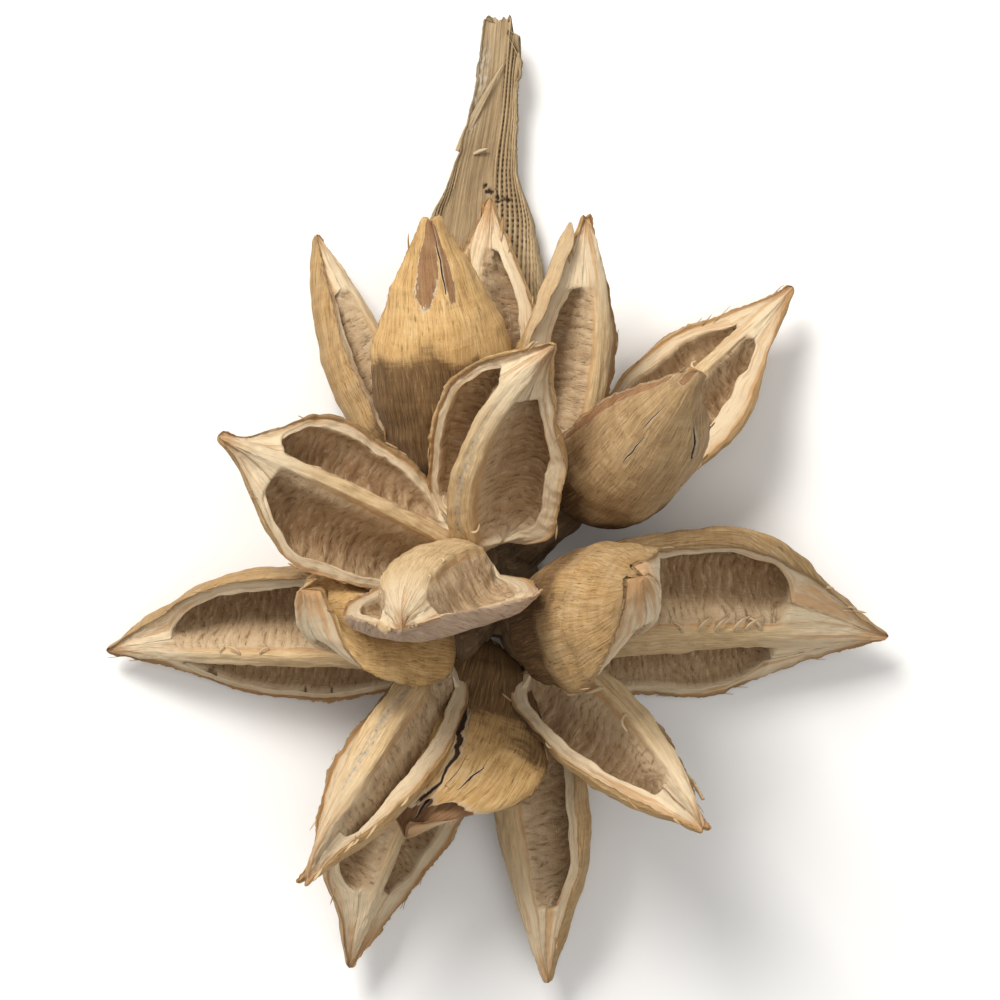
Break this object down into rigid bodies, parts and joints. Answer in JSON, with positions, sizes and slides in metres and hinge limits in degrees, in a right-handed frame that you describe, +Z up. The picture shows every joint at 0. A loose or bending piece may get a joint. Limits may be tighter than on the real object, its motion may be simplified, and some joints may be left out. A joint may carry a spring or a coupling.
{
  "type": "star pod",
  "caption": "Dried star-shaped cluster of woody seed pods, each split into boat-shaped valves with two hollow seed chambers, and one long fibrous spathe; lies flat for display.",
  "frame": {"origin": "middle of the bounding box, on the surface that the cluster lies on", "axes": "+Y towards the spathe's tip, +Z up from the surface, towards the open side of the cluster"},
  "size_m": [0.2334, 0.2864, 0.1271],
  "materials": {
    "husk": "dry fibrous pod wall, cream at the cut rims and golden to dark brown outside",
    "bark": "rough dark dry stalk",
    "fibre": "ribbed grey-tan dry bract"
  },
  "bodies": {
    "root": {"front_pod_upper_valve": "husk", "front_pod_left_valve": "husk", "front_pod_lower_valve": "husk", "lower_right_pod_front_valve": "husk", "lower_right_pod_lower_valve": "husk", "lower_right_pod_side_valve": "husk", "left_pod_front_valve": "husk", "left_pod_lower_valve": "husk", "left_pod_side_valve": "husk", "right_pod_front_valve": "husk", "right_pod_inner_valve": "husk", "right_pod_outer_valve": "husk", "upper_pod_front_valve": "husk", "upper_pod_left_valve": "husk", "upper_pod_back_valve": "husk", "lower_pod_front_valve": "husk", "lower_pod_left_valve": "husk", "lower_pod_right_valve": "husk", "rachis": "bark", "front_pod_stalk": "bark", "lower_right_pod_stalk": "bark", "left_pod_stalk": "bark", "right_pod_stalk": "bark", "upper_pod_stalk": "bark", "lower_pod_stalk": "bark", "spathe": "fibre"}
  },
  "joints": []
}
